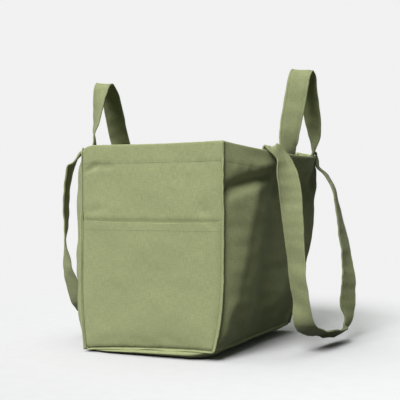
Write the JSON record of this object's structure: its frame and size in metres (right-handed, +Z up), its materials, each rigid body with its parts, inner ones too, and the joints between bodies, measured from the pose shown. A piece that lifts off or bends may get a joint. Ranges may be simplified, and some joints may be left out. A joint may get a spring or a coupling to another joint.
{
  "type": "fruit picking bag",
  "caption": "Boxy soft canvas harvest tote with an end patch pocket, short grab handles and long shoulder straps on both sides.",
  "frame": {"origin": "on the floor under the middle of the base", "axes": "+Z up, -Y out of the pocketed end, X across the mouth from one handle to the other"},
  "size_m": [0.508, 0.3744, 0.4692],
  "materials": {
    "canvas": "matte heavy cotton canvas, plain weave, sage green",
    "band_canvas": "matte folded and topstitched canvas, sage green",
    "binding_tape": "matte cotton twill tape, sage green",
    "thread": "satin polyester thread, darker green"
  },
  "bodies": {
    "bag": {"back_left_corner_ridge": "canvas", "back_left_seam_binding": "binding_tape", "back_panel": "canvas", "back_right_corner_ridge": "canvas", "back_right_seam_binding": "binding_tape", "base_panel": "canvas", "base_seam_binding": "binding_tape", "base_seam_ridge": "canvas", "corner_ridge_stitching": "thread", "front_left_corner_ridge": "canvas", "front_left_seam_binding": "binding_tape", "front_panel": "canvas", "front_right_corner_ridge": "canvas", "front_right_seam_binding": "binding_tape", "handle_left_end_stitching": "thread", "handle_left_sewn_ends": "band_canvas", "handle_right_end_stitching": "thread", "handle_right_sewn_ends": "band_canvas", "hem_stitching": "thread", "left_side_panel": "canvas", "right_side_panel": "canvas", "rim_facing_back": "canvas", "rim_facing_front": "canvas", "rim_facing_left": "canvas", "rim_facing_right": "canvas", "strap_left_end_stitching": "thread", "strap_left_sewn_ends": "band_canvas", "strap_right_end_stitching": "thread", "strap_right_sewn_ends": "band_canvas"},
    "pocket": {"pocket_panel": "canvas", "pocket_hem": "canvas", "pocket_hem_stitching": "thread"},
    "handle_left": {"handle_left": "band_canvas", "handle_left_stitching": "thread"},
    "handle_right": {"handle_right": "band_canvas", "handle_right_stitching": "thread"},
    "strap_left": {"strap_left": "band_canvas", "strap_left_stitching": "thread"},
    "strap_right": {"strap_right": "band_canvas", "strap_right_stitching": "thread"}
  },
  "joints": [
    {"name": "pocket_mouth", "type": "hinge", "parent": "bag", "child": "pocket", "pos_m": [0, -0.1776, 0.0183], "axis": [1, 0, 0], "range_deg": [0, 8], "stiffness_Nm_per_rad": 0.6},
    {"name": "handle_left_fold", "type": "hinge", "parent": "bag", "child": "handle_left", "pos_m": [-0.18828, 0.006, 0.33114], "axis": [0.0618, -0.9981, -0.0067], "range_deg": [-100, 110], "stiffness_Nm_per_rad": 0.12},
    {"name": "handle_right_fold", "type": "hinge", "parent": "bag", "child": "handle_right", "pos_m": [0.18828, 0.006, 0.33114], "axis": [0.0618, 0.9981, 0.0067], "range_deg": [-100, 110], "stiffness_Nm_per_rad": 0.12},
    {"name": "strap_left_swing", "type": "hinge", "parent": "bag", "child": "strap_left", "pos_m": [-0.17235, 0, 0.3322], "axis": [-0.0688, 0.9976, 0], "range_deg": [0, 140], "stiffness_Nm_per_rad": 0.02},
    {"name": "strap_right_swing", "type": "hinge", "parent": "bag", "child": "strap_right", "pos_m": [0.17235, 0, 0.3322], "axis": [-0.0688, -0.9976, 0], "range_deg": [0, 140], "stiffness_Nm_per_rad": 0.02}
  ]
}
